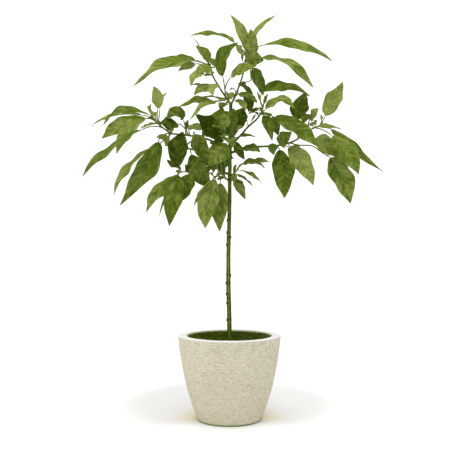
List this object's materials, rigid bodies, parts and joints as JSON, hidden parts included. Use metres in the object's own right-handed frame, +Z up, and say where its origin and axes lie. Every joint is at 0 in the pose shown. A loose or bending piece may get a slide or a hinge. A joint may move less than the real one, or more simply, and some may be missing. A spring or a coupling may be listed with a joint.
{
  "type": "potted avocado tree",
  "caption": "Young avocado tree with a slim bare trunk and a loose crown of pointed green leaves, growing in a round plaster-finished planter filled with soil.",
  "frame": {"origin": "centre of the planter's flat underside, on the surface that it stands on", "axes": "+Z up along the trunk, +X to the viewer's right in the picture, -Y towards the viewer"},
  "size_m": [0.9027, 0.5806, 1.2103],
  "materials": {
    "pot_plaster": "rough, cream-coloured plaster",
    "soil": "loose dark potting soil with moss",
    "trunk_bark": "smooth green-brown young bark",
    "leaf_dark": "dark green leaf, slightly waxy",
    "leaf_mid": "mid-green leaf, slightly waxy",
    "leaf_light": "light green young leaf, slightly waxy"
  },
  "bodies": {
    "root": {"pot": "pot_plaster", "soil": "soil", "trunk": "trunk_bark", "shoot_top_left": "leaf_mid", "shoot_top_right": "leaf_light", "shoot_left_upper": "leaf_mid", "shoot_left_lower": "leaf_mid", "shoot_right_upper": "leaf_mid", "shoot_right_lower": "leaf_mid", "shoot_low_left": "leaf_mid", "shoot_low_right": "leaf_mid", "shoot_front": "leaf_dark", "shoot_back_high": "leaf_dark", "shoot_back_low": "leaf_dark"}
  },
  "joints": []
}
